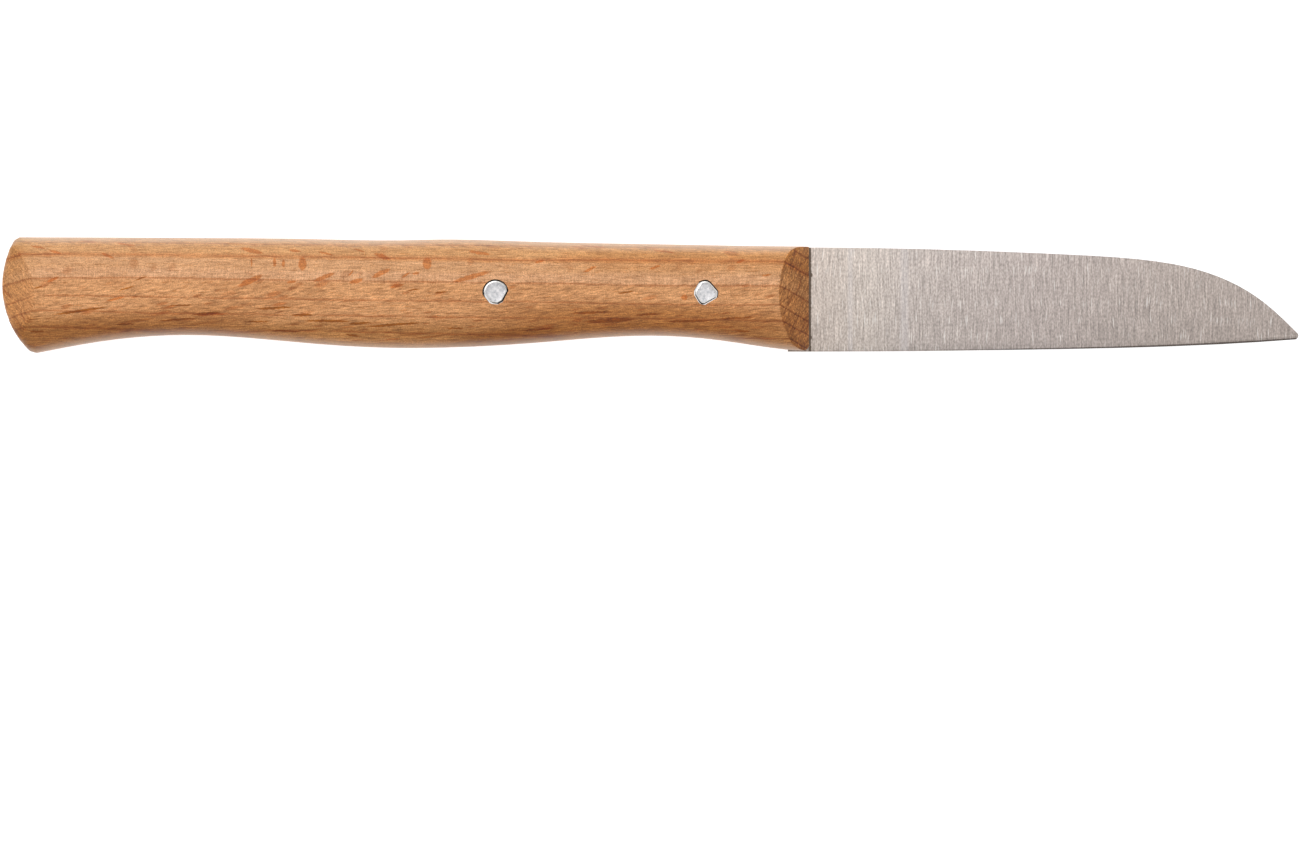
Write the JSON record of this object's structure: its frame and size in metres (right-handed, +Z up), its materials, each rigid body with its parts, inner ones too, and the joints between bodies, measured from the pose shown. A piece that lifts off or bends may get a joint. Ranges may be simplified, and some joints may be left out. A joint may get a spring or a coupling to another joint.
{
  "type": "paring knife",
  "caption": "Small paring knife with a thin tapered steel blade, its tang held in a one-piece shaped wooden handle by solid metal pins.",
  "frame": {"origin": "on the table straight below the middle of the knife's bounding box, the knife lying on its side", "axes": "+X from the butt of the handle to the point, +Y towards the back of the blade, +Z up through the knife's thickness"},
  "size_m": [0.1722, 0.0153, 0.0105],
  "materials": {
    "blade_steel": "satin, fine scratches across the blade from back to edge",
    "beech": "bare beech, lightly oiled, with fine ray flecks and darker year rings",
    "rivet_metal": "peened and dressed level with the wood"
  },
  "bodies": {
    "root": {"blade": "blade_steel", "handle": "beech", "rear_rivet": "rivet_metal", "front_rivet": "rivet_metal"}
  },
  "joints": []
}
